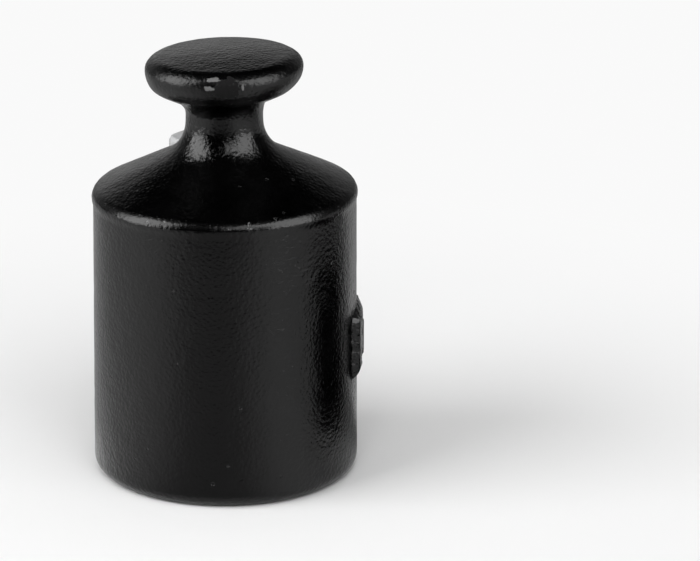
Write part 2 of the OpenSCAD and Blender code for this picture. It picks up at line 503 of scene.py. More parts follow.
def refine_pad(mesh, cuts):
    """Splits the wall's squares round the pad, so that its edges are drawn sharply."""
    work = bmesh.new()
    work.from_mesh(mesh)
    half_w = (PAD_W / 2 + REFINE_MARGIN) * MM
    half_h = (PAD_H / 2 + REFINE_MARGIN) * MM
    edges = [
        e for e in work.edges
        if all(v.co.x > 0 and abs(v.co.y) < half_w and abs(v.co.z - PAD_Z * MM) < half_h for v in e.verts)
        and all(math.hypot(v.co.x, v.co.y) > ON_WALL * MM for v in e.verts)
    ]
    bmesh.ops.subdivide_edges(work, edges=edges, cuts=cuts, use_grid_fill=True)
    work.to_mesh(mesh)
    work.free()


def box_distance(y, z, centre, half, corner=0.0):
    """Distance from a rectangle, negative inside, with rounded corners."""
    dy = np.abs(y - centre[0]) - half[0] + corner
    dz = np.abs(z - centre[1]) - half[1] + corner
    outside = np.hypot(np.maximum(dy, 0), np.maximum(dz, 0))
    return outside + np.minimum(np.maximum(dy, dz), 0) - corner


def stroke_distance(y, z, first, last, width):
    """Distance from a straight stroke with round ends, negative inside."""
    dy, dz = last[0] - first[0], last[1] - first[1]
    t = np.clip(((y - first[0]) * dy + (z - first[1]) * dz) / (dy * dy + dz * dz), 0, 1)
    return np.hypot(y - first[0] - t * dy, z - first[1] - t * dz) - width / 2


def bowed_distance(y, z, width, height):
    """Distance from an outline with upright sides and bowed ends, negative inside."""
    bow_r = ((width / 2) ** 2 + PAD_BOW**2) / (2 * PAD_BOW)
    upper = np.hypot(y, z - (height / 2 - bow_r)) - bow_r
    lower = np.hypot(y, z - (bow_r - height / 2)) - bow_r
    return np.maximum(np.abs(y) - width / 2, np.maximum(upper, lower))


def numeral_distance(y, z):
    """Distance from a plain numeral 1: a stem, a flag and a foot, as seen facing the pad."""
    half = NUMERAL_H / 2
    flag_ends = [(across, half - below) for across, below in (FLAG_FROM, FLAG_TO)]
    low = (0, -half + NUMERAL_STROKE / 2)
    stem = box_distance(y, z, (0, 0), (NUMERAL_STROKE / 2, half), NUMERAL_CORNER)
    flag = stroke_distance(y, z, *flag_ends, NUMERAL_STROKE)
    foot = box_distance(y, z, low, (NUMERAL_FOOT, NUMERAL_STROKE / 2), NUMERAL_CORNER)
    return np.minimum(stem, np.minimum(flag, foot))


def lumps(y, z, size):
    """Smooth lumps of a size, about -1 to 1, the same on every run."""
    return np.array([noise.noise(Vector((a / size, b / size, 7.0))) for a, b in zip(y, z)])


def raise_pad(rows):
    """Moves the wall's points out to the pad's face, border, field and numeral, along X."""
    x, y, z = (rows / MM).T
    height = z - PAD_Z
    wall_r = BODY_R - WALL_DRAFT * PAD_Z / BODY_H
    near = (x > 0) & (np.hypot(x, y) > ON_WALL) & (np.abs(height) < PAD_H)
    edge = bowed_distance(y, height, PAD_W, PAD_H)
    rough = np.zeros_like(y)
    rough[near] = lumps(y[near], height[near], PAD_LUMP)
    edge = edge + PAD_RAGGED * rough
    up_face = smooth((PAD_DRAFT / 2 - edge) / PAD_DRAFT)
    field = smooth(-bowed_distance(y, height, PAD_W - 2 * PAD_BORDER, PAD_FIELD_H) / PAD_DRAFT)
    numeral = smooth((PAD_DRAFT / 2 - numeral_distance(y, height)) / PAD_DRAFT)
    towards_side = (y / (PAD_W / 2)) ** 2
    upper = height > 0
    reach = np.where(upper, *PAD_REACH) - np.where(upper, *PAD_SIDE_SHORT) * towards_side
    reach = reach + PAD_REACH_RAGGED * rough
    flat = PAD_FLAT_H / 2 + (np.where(upper, *PAD_SIDE_FLAT) - PAD_FLAT_H / 2) * towards_side
    past = (np.abs(height) - flat) / np.maximum(reach - flat, PAD_ROUND_LEAST)
    past = np.clip(past, 0, PAD_PAST_MOST)
    rounding = PAD_PROUD * past**PAD_ROUNDING
    level = wall_r + PAD_PROUD - rounding - PAD_SINK * field + NUMERAL_RISE * field * numeral
    face = np.sqrt(np.maximum(level**2 - y**2, 0))
    raised = np.where(near, x + up_face * np.maximum(face - x, 0), x)
    out = rows.copy()
    out[:, 0] = raised * MM
    return out, near & (edge < PAD_DRAFT)


refine_pad(casting.data, cuts=3)
rows, on_pad = raise_pad(coordinates(casting.data))
set_coordinates(casting.data, rows)
print("pad points", int(on_pad.sum()), "proud to mm", round(rows[:, 0].max() / MM, 2))
print("with the pad", triangles(casting.data), "triangles")

# %% [markdown]
# ## The cast skin
#
# Sand leaves a pebbly skin on iron, and paint rounds it off. The larger pebbles break the
# reflections and even the silhouette, so they are real shape. A tree moves each point inwards along
# its normal by layers of noise: inwards, so that the weight stays within the size that it was built
# to. The foot is left flat where it stands. The finer pebbles are left to the paint's bump, because
# as shape they would take millions of triangles.

# %% Skin tree
def skin_tree():
    """A tree that presses a pebbly skin into a mesh."""
    sizes = {"Swell Size": 0.006, "Swell Depth": 0.0001, "Pebble Size": 0.002, "Pebble Depth": 0.0001}
    inputs = {"Geometry": "Geometry", **sizes, "Flat Below": 0.001, "Seed": 3.0, "Finish": "Material"}
    outputs = {"Geometry": "Geometry"}
    tree, start, end = group_with("cast_skin", "GeometryNodeTree", inputs, outputs)
    spot = tree.nodes.new("GeometryNodeInputPosition")
    normal = tree.nodes.new("GeometryNodeInputNormal")
    height = split(tree, spot.outputs[0])["Z"]
    layers = []
    for label, detail in (("Swell", 1.0), ("Pebble", 0.5)):
        cloud = add_node(tree, "ShaderNodeTexNoise", {"noise_dimensions": "4D"}, Vector=spot.outputs[0])
        fill(tree, cloud, detail=detail, w=start.outputs["Seed"])
        fill(tree, cloud, scale=math_node(tree, "DIVIDE", 1.0, start.outputs[label + " Size"]))
        layers.append(multiply(tree, cloud.outputs[0], start.outputs[label + " Depth"]))
    depth = math_node(tree, "ADD", *layers)
    off_foot = math_node(tree, "DIVIDE", height, start.outputs["Flat Below"], clamp=True)
    depth = multiply(tree, depth, off_foot)
    inwards = vector_node(tree, "SCALE", normal.outputs[0], multiply(tree, depth, -1.0))
    moved = add_node(tree, "GeometryNodeSetPosition", Geometry=start.outputs["Geometry"])
    fill(tree, moved, offset=inwards)
    return end_tree(tree, start, end, moved)


SWELL_SIZE = 9
SWELL_DEPTH = 0.16
PEBBLE_SIZE = 2.4
PEBBLE_DEPTH = 0.09
FLAT_BELOW = 0.8

run_tree(
    casting,
    skin_tree(),
    swell_size=SWELL_SIZE * MM,
    swell_depth=SWELL_DEPTH * MM,
    pebble_size=PEBBLE_SIZE * MM,
    pebble_depth=PEBBLE_DEPTH * MM,
    flat_below=FLAT_BELOW * MM,
    seed=3.0,
    finish=painted_iron,
)
rows = coordinates(casting.data)
print("skinned, box mm", np.round(rows.min(0) / MM, 2), np.round(rows.max(0) / MM, 2))

# %% [markdown]
# ## The adjusting cavity
#
# Behind the neck a cored hole goes down into the iron: a mouth with a groove that keys the lead, a
# ledge for the brass disc, a throat and a round-floored chamber for the shot. It is hidden once the
# lead is in, but the shot and the disc are real pieces and need their room, so the same tool shape
# is cut out of the skinned casting.

# %% Cavity
CAVITY_OFFSET = 16.5
CAVITY_TURN = math.radians(112)
MOUTH_R = 5
LEDGE_DEPTH = 2.1
THROAT_R = 3.8
THROAT_H = 2.4
CHAMBER_R = 5.5
CHAMBER_H = 26
DISC_T = 1
DISC_TO_GROOVE = 0.4
GROOVE_DEPTH = 0.7
GROOVE_H = 1.2
CAVITY_SIDES = 64
CUT_ABOVE = 2

ledge_z = BODY_H - LEDGE_DEPTH
throat_z = ledge_z - THROAT_H
bowl_z = throat_z - CHAMBER_H + CHAMBER_R
groove_z = ledge_z + DISC_T + DISC_TO_GROOVE
cavity_centre = (CAVITY_OFFSET * math.cos(CAVITY_TURN), CAVITY_OFFSET * math.sin(CAVITY_TURN))


def turned_mesh(name, points, centre, sides):
    """Turns an outline of (radius, height) points, in mm, round an upright axis through centre."""
    angles = np.linspace(0, 2 * math.pi, sides, endpoint=False)
    vertices, rings = [], []
    for radius, height in points:
        if radius == 0:
            rings.append([len(vertices)] * sides)
            vertices.append((centre[0] * MM, centre[1] * MM, height * MM))
        else:
            rings.append(list(range(len(vertices), len(vertices) + sides)))
            ring = [(centre[0] + radius * math.cos(a), centre[1] + radius * math.sin(a)) for a in angles]
            vertices += [(x * MM, y * MM, height * MM) for x, y in ring]
    faces = []
    for low, high in zip(rings, rings[1:]):
        for i in range(sides):
            j = (i + 1) % sides
            corners = [low[i], low[j], high[j], high[i]]
            faces.append(list(dict.fromkeys(corners)))
    mesh = bpy.data.meshes.new(name)
    mesh.from_pydata(vertices, [], faces)
    mesh.update()
    return mesh


def cut(obj, tool):
    """Takes a tool's shape out of an object for good."""
    modifier = obj.modifiers.new("cut", "BOOLEAN")
    modifier.operation = "DIFFERENCE"
    modifier.solver = "EXACT"
    modifier.object = tool
    bake(obj, modifier)
    bpy.data.objects.remove(tool)


def groove_corners(radius):
    """The groove that keys the lead, from below, in a mouth of a radius."""
    deep, top = radius + GROOVE_DEPTH, groove_z + GROOVE_H
    return [(radius, groove_z), (deep, groove_z), (deep, top), (radius, top)]


mouth_top = shoulder_z(CAVITY_OFFSET - MOUTH_R) + CUT_ABOVE
cavity_outline = [(0, bowl_z - CHAMBER_R)]
cavity_outline += arc((0, bowl_z), CHAMBER_R, -math.pi / 2, 0, 12)[1:]
cavity_outline += [
    (CHAMBER_R, throat_z),
    (THROAT_R, throat_z),
    (THROAT_R, ledge_z),
    (MOUTH_R, ledge_z),
    *groove_corners(MOUTH_R),
    (MOUTH_R, mouth_top),
    (0, mouth_top),
]
cavity_mesh = turned_mesh("cavity_tool", cavity_outline, cavity_centre, CAVITY_SIDES)
cut(casting, new_object("cavity_tool", cavity_mesh))
casting.data.materials.clear()
casting.data.materials.append(painted_iron)
casting.data.polygons.foreach_set("material_index", [0] * len(casting.data.polygons))
print("cavity cut,", triangles(casting.data), "triangles")

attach(casting, "root")
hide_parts("weight_casting")

# %% [markdown]
# ## The lead seal
#
# Once the mass is right, lead is driven into the mouth with a small hammer until it locks in the
# groove, and it is left standing proud. Lead takes each blow as a flat, and the flats meet in soft
# ridges. A sculpted lump would look like putty. Here the top is the lowest of a few tilted planes,
# one for each blow, blended a little where they meet, and the skirt rolls over where the lead was
# pushed outwards.

# %% Seal
SEAL_RINGS = 26
SEAL_SIDES = 96
SEAL_PROUD = 2.2
SEAL_SKIRT = 4.92
SEAL_ROUND = 0.7
SEAL_BLEND = 0.05
SEAL_GAP = 0.02
SEAL_BELOW = 0.3
SEAL_WALL_RINGS = 14
SEAL_SQUEEZE = 0.05
BULGES = [(3, 0.05, 0.6), (7, 0.03, 0)]
BLOWS = [
    (112, 8, 0), (205, 15, 0.35), (186, 34, 2.3), (20, 17, 0.4),
    (60, 24, 0.9), (142, 21, 0.5), (94, 34, 2.1),
]
SEAL_TOP = shoulder_z(CAVITY_OFFSET) + SEAL_PROUD


def hammered_height(x, y):
    """Height of the hammered top above the seal's level top. A blow is a turn, a tilt and a lift."""
    planes = [np.zeros_like(x)]
    for turn, tilt, lift in BLOWS:
        a = math.radians(turn)
        planes.append(lift - (x * math.cos(a) + y * math.sin(a)) * math.tan(math.radians(tilt)))
    planes = np.array(planes)
    lowest = planes.min(0)
    return lowest - SEAL_BLEND * np.log(np.exp(-(planes - lowest) / SEAL_BLEND).sum(0))


def seal_mesh():
    """The lead as one closed mesh: a plug below, a rolled skirt and a hammered top."""
    inner = MOUTH_R - SEAL_GAP
    low = shoulder_z(CAVITY_OFFSET + MOUTH_R) - SEAL_BELOW
    plug = [(0, ledge_z + DISC_T), (inner, ledge_z + DISC_T), *groove_corners(inner), (inner, low)]
    wall = [(SEAL_SKIRT, low + t * (SEAL_TOP - low)) for t in np.linspace(0.1, 1, SEAL_WALL_RINGS)]
    top = [(SEAL_SKIRT * (1 - t), SEAL_TOP) for t in np.linspace(0, 1, SEAL_RINGS)[1:]]
    mesh = turned_mesh("seal", plug + wall + top, (0, 0), SEAL_SIDES)
    rows = coordinates(mesh) / MM
    x, y, z = rows.T
    radius = np.hypot(x, y)
    cap = SEAL_TOP + hammered_height(x, y)
    cap -= SEAL_ROUND * smooth((radius - (SEAL_SKIRT - SEAL_ROUND)) / SEAL_ROUND) ** 2
    share = np.clip((z - low) / (SEAL_TOP - low), 0, 1)
    above = z > low + SEAL_GAP / 2
    rows[:, 2] = np.where(above, low + share * (cap - low), z)
    bulge = sum(depth * np.sin(count * np.arctan2(y, x) + turn) for count, depth, turn in BULGES)
    squeeze = np.where(above, (1 + (bulge - SEAL_SQUEEZE) / SEAL_SKIRT * np.sqrt(share)), 1)
    rows[:, 0] = x * squeeze + cavity_centre[0]
    rows[:, 1] = y * squeeze + cavity_centre[1]
    rows[:, 2] += share * SKEW * (rows[:, 0] + BODY_R / 2)
    set_coordinates(mesh, rows * MM)
    return mesh


def tidy_normals(mesh):
    """Welds doubles and turns every face outwards."""
    work = bmesh.new()
    work.from_mesh(mesh)
    bmesh.ops.remove_doubles(work, verts=work.verts, dist=1e-6)
    bmesh.ops.recalc_face_normals(work, faces=work.faces)
    work.to_mesh(mesh)
    work.free()


seal = new_object("seal", seal_mesh())
tidy_normals(seal.data)
seal.data.shade_smooth()
lead, lead_tree, lead_shader = new_material("hammered_lead")
seal.data.materials.append(lead)
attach(seal, "root")
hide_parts("lead_seal")
print("seal", triangles(seal.data), "triangles")

# %% [markdown]
# ## Shared shader effects
#
# Some effects return in several finishes, so they are node groups with named sockets, and each
# material places them with its own sizes. Grain is a height field of rounded pebbles with a fine
# tooth, for paint over sand skin and, much finer, for lead and brass. A plain noise in its place
# draws long waves in a gloss, where Voronoi cells keep each pebble apart. Specks are small
# scattered spots with a mask of their own.

# %% Grain and speck groups
PEBBLE_SHARE = 0.75
SOFT_SHARE = 0.2
PEBBLE_SMOOTH = 0.8
PATCH_PEBBLES = 8
SPOT_EDGE = 0.4


def grain_group():
    """Pebbles and fine tooth as a height, and wide patches as a mask, sizes in metres."""
    inputs = {"Pebble Size": 0.001, "Tooth Size": 0.0003, "Tooth Share": 0.3}
    outputs = {"Height": "Float", "Patches": "Float"}
    tree, start, end = group_with("grain", "ShaderNodeTree", inputs, outputs)
    spot = object_spot(tree)

    def cloud(size, detail, roughness):
        node = add_node(tree, "ShaderNodeTexNoise", Vector=spot, Detail=detail, Roughness=roughness)
        fill(tree, node, scale=math_node(tree, "DIVIDE", 1.0, size))
        return node.outputs[0]

    cells = add_node(tree, "ShaderNodeTexVoronoi", {"feature": "SMOOTH_F1"}, Vector=spot)
    fill(tree, cells, smoothness=PEBBLE_SMOOTH)
    fill(tree, cells, scale=math_node(tree, "DIVIDE", 1.0, start.outputs["Pebble Size"]))
    pebbles = math_node(tree, "SUBTRACT", 1.0, cells.outputs["Distance"])
    soft = cloud(start.outputs["Pebble Size"], 2.0, 0.5)
    tooth = cloud(start.outputs["Tooth Size"], 2.0, 0.6)
    height = multiply(tree, pebbles, PEBBLE_SHARE)
    for layer, share in ((soft, SOFT_SHARE), (tooth, start.outputs["Tooth Share"])):
        height = math_node(tree, "ADD", height, multiply(tree, layer, share))
    wide = multiply(tree, start.outputs["Pebble Size"], PATCH_PEBBLES)
    fill(tree, end, height=height, patches=cloud(wide, 3.0, 0.6))
    return tree


def place_group(tree, group, **values):
    """Places a shader group in a material with its own values."""
    node = tree.nodes.new("ShaderNodeGroup")
    node.node_tree = group
    for key, value in values.items():
        node.inputs[key.replace("_", " ").title()].default_value = value
    return node


def speck_group():
    """Small round spots strewn at random, as a mask, sizes in metres."""
    inputs = {"Cell Size": 0.003, "Spot Size": 0.0003, "Share": 0.5}
    tree, start, end = group_with("specks", "ShaderNodeTree", inputs, {"Mask": "Float"})
    spot = object_spot(tree)
    cells = add_node(tree, "ShaderNodeTexVoronoi", Vector=spot)
    fill(tree, cells, scale=math_node(tree, "DIVIDE", 1.0, start.outputs["Cell Size"]))
    distance = multiply(tree, cells.outputs["Distance"], start.outputs["Cell Size"])
    chance = split(tree, cells.outputs["Color"])
    size = multiply(tree, start.outputs["Spot Size"], chance["Y"])
    inside = math_node(tree, "SUBTRACT", 1.0, math_node(tree, "DIVIDE", distance, size), clamp=True)
    picked = math_node(tree, "LESS_THAN", chance["X"], start.outputs["Share"])
    fill(tree, end, mask=multiply(tree, map_range(tree, inside, 0.0, SPOT_EDGE), picked))
    return tree


grain = grain_group()
specks = speck_group()

# %% [markdown]
# ## Black paint over cast iron
#
# The paint is black and fairly glossy, and it lies over a skin that is never level, so every
# reflection is broken into small soft patches. The colour is close to black everywhere. What makes
# it read as paint on iron is in the roughness, which drifts over the surface, and in the pebbles
# that tilt the reflections. The bead and the rim are rubbed by hands, a few knocks have taken the
# paint off, and there is a dull spot at the front of the knob. The grey of the chipped paint is also
# a painted glint: along the bead it lightens the thin highlight line, and the knocks at the knob's
# front and at the pad's corner stand for glints as much as for bare iron.

# %% Paint material
PAINT = (0.0003, 0.0003, 0.00032)
PAINT_DUSTY = (0.0008, 0.0008, 0.00085)
PAINT_ROUGH = (0.11, 0.17)
DUSTY_PATCHES = (0.35, 0.7)
WORN_BANDS = [(BODY_H - 2, BODY_H + 5, BODY_R - 1.7), (KNOB_Z - 5, KNOB_Z + 5, KNOB_R - 2.2)]
WORN_EASE = (1, 0.8)
BEAD_ROUGH = 0.24
BEAD_RELIEF = 0.6
RIM_ROUGH = 0.27
FLAKE_SIZE = 2.0
# Flaked paint on the bead, grey in the colour, which also lightens the bead's highlight line as a painted
# highlight.
FLAKED_AND_GLINT_SPAN = (0.68, 0.7)
CHIP_AND_GLINT = (0.1, 0.1, 0.1)
CHIP_AND_GLINT_ROUGH = 0.5
# Knocks: two at the knob's front, a mark beside them and one at the pad's near corner, grey in the colour
# as chipped paint and as painted glints.
KNOCKS_AND_GLINTS = [
    ((-2.1, -15.0, 83.8), (1.2, 1.2, 0.45)),
    ((-3.0, -15.5, 82.2), (1.0, 1.0, 0.55)),
    ((3.6, -15.2, 82.2), (0.35, 1, 1.0)),
    ((25.6, -8.0, 32.6), (0.9, 1.0, 0.55)),
]
DULL_PLACE = (0.6, -15.3, 81.6)
DULL_SIZE = (2.9, 2.5, 2.2)
DULL_ROUGH = 0.95
PAD_ZONE = (3.5, 11.5, 11)
PATCH_RAGGED = 3.0
PATCH_EDGE = (2.3, 2.5)
PIT_DEPTH = 1.6
BUMP_DEPTH = 0.1


def near_place(tree, spot, flakes, place, size):
    """A ragged patch round a place on the surface, sizes in mm."""
    offset = vector_node(tree, "SUBTRACT", spot, tuple(c * MM for c in place))
    stretched = vector_node(tree, "DIVIDE", offset, tuple(c * MM for c in size))
    distance = vector_node(tree, "LENGTH", stretched, output=1)
    ragged = math_node(tree, "ADD", distance, multiply(tree, flakes, PATCH_RAGGED))
    return map_range(tree, ragged, *PATCH_EDGE, 1.0, 0.0)


def worn_edges(tree, spot):
    """Masks of the bead and of the knob's rim, where hands and other weights have rubbed the paint."""
    height = split(tree, spot)["Z"]
    radius = vector_node(tree, "LENGTH", vector_node(tree, "MULTIPLY", spot, (1, 1, 0)), output=1)
    masks = []
    for low, high, inner in WORN_BANDS:
        above = map_range(tree, height, low * MM, (low + WORN_EASE[0]) * MM)
        above = multiply(tree, above, math_node(tree, "LESS_THAN", height, high * MM))
        outer = map_range(tree, radius, inner * MM, (inner + WORN_EASE[1]) * MM)
        masks.append(multiply(tree, above, outer))
    return masks


def finish_paint(tree, shader):
    """Wires the paint: dusty patches, worn edges, chipped paint and knocks that double as painted glints,
    a dull spot, and relief as bump.
    """
    skin = place_group(tree, grain, pebble_size=0.7 * MM, tooth_size=0.3 * MM, tooth_share=0.5)
    patches = map_range(tree, skin.outputs["Patches"], *DUSTY_PATCHES)
    spot = object_spot(tree)
    bead_worn, rim_worn = worn_edges(tree, spot)
    flakes = add_node(tree, "ShaderNodeTexNoise", Vector=spot, Detail=3.0, Roughness=0.65)
    fill(tree, flakes, scale=1 / (FLAKE_SIZE * MM))
    flakes = flakes.outputs[0]
    # Flaked paint on the bead and the knocks: chipped paint that also serves as painted glints.
    chips_and_glints = multiply(tree, map_range(tree, flakes, *FLAKED_AND_GLINT_SPAN), bead_worn)
    for place, size in KNOCKS_AND_GLINTS:
        chips_and_glints = math_node(tree, "MAXIMUM", chips_and_glints, near_place(tree, spot, flakes, place, size))
    paint = mix_colours(tree, patches, PAINT, PAINT_DUSTY)
    dull = near_place(tree, spot, flakes, DULL_PLACE, DULL_SIZE)
    rough = mix_values(tree, patches, *PAINT_ROUGH)
    masks = (bead_worn, rim_worn, dull, chips_and_glints)
    for mask, value in zip(masks, (BEAD_ROUGH, RIM_ROUGH, DULL_ROUGH, CHIP_AND_GLINT_ROUGH)):
        rough = mix_values(tree, mask, rough, value)
    pits = place_group(tree, specks, cell_size=2.6 * MM, spot_size=0.42 * MM, share=0.5)
    pad_zone = near_place(tree, spot, flakes, (BODY_R, 0, PAD_Z), PAD_ZONE)
    strength = math_node(tree, "ADD", map_range(tree, bead_worn, 0, 1, 1.0, BEAD_RELIEF), pad_zone)
    relief = multiply(tree, skin.outputs["Height"], strength)
    sunk = multiply(tree, pits.outputs["Mask"], PIT_DEPTH)
    relief = math_node(tree, "SUBTRACT", relief, sunk)
    bump = add_node(tree, "ShaderNodeBump", Strength=1.0, Distance=BUMP_DEPTH * MM, Height=relief)
    # The grey of chips and knocks goes into the colour: bare iron and painted glints together.
    fill(tree, shader, base_color=mix_colours(tree, chips_and_glints, paint, CHIP_AND_GLINT), roughness=rough)
    fill(tree, shader, normal=bump.outputs[0], specular_ior_level=0.25, ior=1.5)


finish_paint(paint_tree, paint_shader)

# %% [markdown]
# ## Lead, brass and shot
#
# Fresh cut lead is bright, and a film dulls it in patches within days, so it drifts between two
# tones and two roughnesses. The brass disc is a turned part, and its tool marks are so fine that a
# small grain stands for them. The shot are rolled lead, grey and slightly dented. The disc and the
# shot keep their own construction meshes and only take a finish here.

# %% Metal materials
LEAD_FRESH = (0.47, 0.475, 0.48)
LEAD_DULL = (0.4, 0.405, 0.41)
SHOT_GREY = (0.16, 0.165, 0.175)
SHOT_DARK = (0.07, 0.072, 0.078)
BRASS = (0.62, 0.44, 0.17)
BRASS_DULL = (0.36, 0.24, 0.1)
TONE_PATCHES = (0.35, 0.68)


def finish_metal(tree, shader, light, dark, sizes, roughness, depth, bare=1.0):
    """Wires a metal: two tones, a drifting roughness, a bump. Bare is 1 for metal without a film."""
    pebble, tooth = (size * MM for size in sizes)
    skin = place_group(tree, grain, pebble_size=pebble, tooth_size=tooth, tooth_share=0.5)
    patches = map_range(tree, skin.outputs["Patches"], *TONE_PATCHES)
    height = skin.outputs["Height"]
    bump = add_node(tree, "ShaderNodeBump", Strength=1.0, Distance=depth * MM, Height=height)
    fill(tree, shader, base_color=mix_colours(tree, patches, light, dark))
    fill(tree, shader, roughness=mix_values(tree, patches, *roughness))
    fill(tree, shader, normal=bump.outputs[0], metallic=bare)


finish_metal(lead_tree, lead_shader, LEAD_FRESH, LEAD_DULL, (0.9, 0.2), (0.6, 0.72), 0.05, bare=0.1)
shot_lead, shot_tree, shot_shader = new_material("shot_lead")
finish_metal(shot_tree, shot_shader, SHOT_GREY, SHOT_DARK, (0.7, 0.15), (0.4, 0.6), 0.03)
brass, brass_tree, brass_shader = new_material("turned_brass")
finish_metal(brass_tree, brass_shader, BRASS, BRASS_DULL, (1.2, 0.12), (0.28, 0.45), 0.01)

for node, material, slot in (
    ("adjusting_shot", shot_lead, "lead_shot"),
    ("closing_disc", brass, "brass_disc"),
):
    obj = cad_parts[node]
    obj.data.materials.clear()
    obj.data.materials.append(material)

# %% [markdown]
# ## Studio
#
# A glossy black thing is a mirror, and it is lit by what it reflects. The pale table gives it its
# light wall, soft boxes to the left, to the right and in front draw the light patches on the waist
# and the thin line along the bead, and the dark room overhead keeps the shoulder black. What gloss
# mirrors and what lights the table are set apart here, because the table has to stay just under
# white while the boxes shine well above it. Round the weight the table shows its own light and
# shadow, and further off it turns to the plain white of paper, for the camera's rays alone.

# %% Floor and world
FLOOR_R = 3.0
FLOOR_SIDES = 128
FLOOR_WHITE = 0.9
FLOOR_DRIFT = 0.02
FAR_WHITE = 0.95
FAR_WHITE_FROM = (0.04, 0.18)


def make_floor():
    """A round pale table top, level with the weight's foot."""
    mesh = bpy.data.meshes.new("floor")
    angles = np.linspace(0, 2 * math.pi, FLOOR_SIDES, endpoint=False)
    rim_points = [(FLOOR_R * math.cos(a), FLOOR_R * math.sin(a), 0) for a in angles]
    mesh.from_pydata(rim_points, [], [range(FLOOR_SIDES)])
    floor = new_object("floor", mesh)
    material, tree, shader = new_material("pale_table")
    spot = object_spot(tree)
    drift = add_node(tree, "ShaderNodeTexNoise", Vector=spot, Scale=3.0, Detail=2.0)
    shades = [(FLOOR_WHITE - darker,) * 3 for darker in (FLOOR_DRIFT, 0)]
    colour = mix_colours(tree, drift.outputs[0], *shades)
    fill(tree, shader, base_color=colour, roughness=0.9, specular_ior_level=0.0)
    far = map_range(tree, vector_node(tree, "LENGTH", spot, output=1), *FAR_WHITE_FROM)
    seen = tree.nodes.new("ShaderNodeLightPath").outputs["Is Camera Ray"]
    paper = add_node(tree, "ShaderNodeEmission", Color=(FAR_WHITE,) * 3 + (1,), Strength=1.0)
    both = tree.nodes.new("ShaderNodeMixShader")
    share = multiply(tree, far, seen)
    for socket, source in zip(both.inputs, (share, shader.outputs[0], paper.outputs[0])):
        feed(tree, socket, source)
    fill(tree, next(n for n in tree.nodes if n.type == "OUTPUT_MATERIAL"), surface=both.outputs[0])
    mesh.materials.append(material)


BACKDROP = [
    (0.0, 0.15), (0.12, 0.2), (0.25, 0.26), (0.355, 0.5), (0.43, 0.56), (0.5, 0.42),
    (0.587, 0.28), (0.645, 0.23), (0.75, 0.2), (0.87, 0.08), (1.0, 0.05),
]
BACKDROP_FADE = [
    (0.0, 1.0), (0.26, 1.0), (0.34, 0.85), (0.42, 0.45), (0.5, 0.16), (0.58, 0.04), (0.7, 0.01),
]
BACKDROP_FROM = (-0.1, 0.3)
ROOM = 0.008


def make_world():
    """A backdrop low down behind the weight, brightest just left of the middle, in a dark room."""
    world = bpy.data.worlds.new("surround")
    bpy.context.scene.world = world
    tree = empty_tree(world)
    direction = tree.nodes.new("ShaderNodeTexCoord").outputs["Generated"]
    parts = split(tree, direction)
    across = ramp(tree, map_range(tree, parts["X"], -1, 1, kind="LINEAR"), BACKDROP)
    fade = ramp(tree, parts["Z"], BACKDROP_FADE)
    behind = multiply(tree, across, fade)
    light = mix_values(tree, map_range(tree, parts["Y"], *BACKDROP_FROM), ROOM, behind)
    seen = tree.nodes.new("ShaderNodeLightPath").outputs["Is Camera Ray"]
    background = add_node(tree, "ShaderNodeBackground", Color=mix_values(tree, seen, light, 1.0))
    add_node(tree, "ShaderNodeOutputWorld", Surface=background.outputs[0])


def towards(azimuth, elevation):
    """A direction from the weight. Azimuth is counted from the camera, to the right, in degrees."""
    a, e = math.radians(azimuth), math.radians(elevation)
    return Vector((math.sin(a) * math.cos(e), -math.cos(a) * math.cos(e), math.sin(e)))


make_floor()
make_world()

# %% [markdown]
# A soft box is an area lamp that faces the weight, given by the span that it covers as the weight
# sees it. The boxes are for gloss, which mirrors them at their full shine. Matt surfaces take their
# light from lamps of their own in about the same directions, further off so that they light the
# table evenly, and a large lamp overhead lifts the shadows.

# %% Lamps
LAMP_HEIGHT = 0.05
RADIANCE_TO_WATTS = 4.0
BOX_DISTANCE = 0.8
SOFT_BOXES = [
    ("left_box", (-104, -58), (0, 55), 5.8),
    ("right_box", (36, 82), (-1, 53), 4.6),
    ("front_box", (1, 35), (22, 52), 3.0),
]
MATT_LIGHTS = [
    ("left_light", -66, 32, 2.0, 1.55, 3.5),
    ("right_light", 48, 32, 2.0, 1.4, 1.2),
    ("front_light", 5, 40, 2.0, 1.25, 3.1),
    ("ceiling", 0, 89, 3.5, 4, 0.72),
]


def area_lamp(name, azimuth, elevation, distance, size, radiance, mirrored):
    """An area lamp of a given brightness, in the direction of its middle."""
    lamp = bpy.data.lights.new(name, "AREA")
    lamp.shape = "RECTANGLE"
    lamp.size, lamp.size_y = size
    lamp.energy = RADIANCE_TO_WATTS * size[0] * size[1] * radiance
    obj = bpy.data.objects.new(name, lamp)
    bpy.context.scene.collection.objects.link(obj)
    direction = towards(azimuth, elevation)
    obj.location = Vector((0, 0, LAMP_HEIGHT)) + direction * distance
    obj.rotation_euler = direction.to_track_quat("Z", "Y").to_euler()
    obj.visible_glossy = mirrored
    obj.visible_diffuse = not mirrored
    print(name, "watts", round(lamp.energy, 1))


def soft_box(name, azimuths, elevations, shine):
    """The shine of a soft box between two azimuths and two elevations, for gloss."""
    across, rise = (math.tan(math.radians(b - a) / 2) for a, b in (azimuths, elevations))
    middle = sum(elevations) / 2
    size = (2 * BOX_DISTANCE * across * math.cos(math.radians(middle)), 2 * BOX_DISTANCE * rise)
    area_lamp(name, sum(azimuths) / 2, middle, BOX_DISTANCE, size, shine, True)


for box in SOFT_BOXES:
    soft_box(*box)
for name, azimuth, elevation, distance, side, radiance in MATT_LIGHTS:
    area_lamp(name, azimuth, elevation, distance, (side, side), radiance, False)
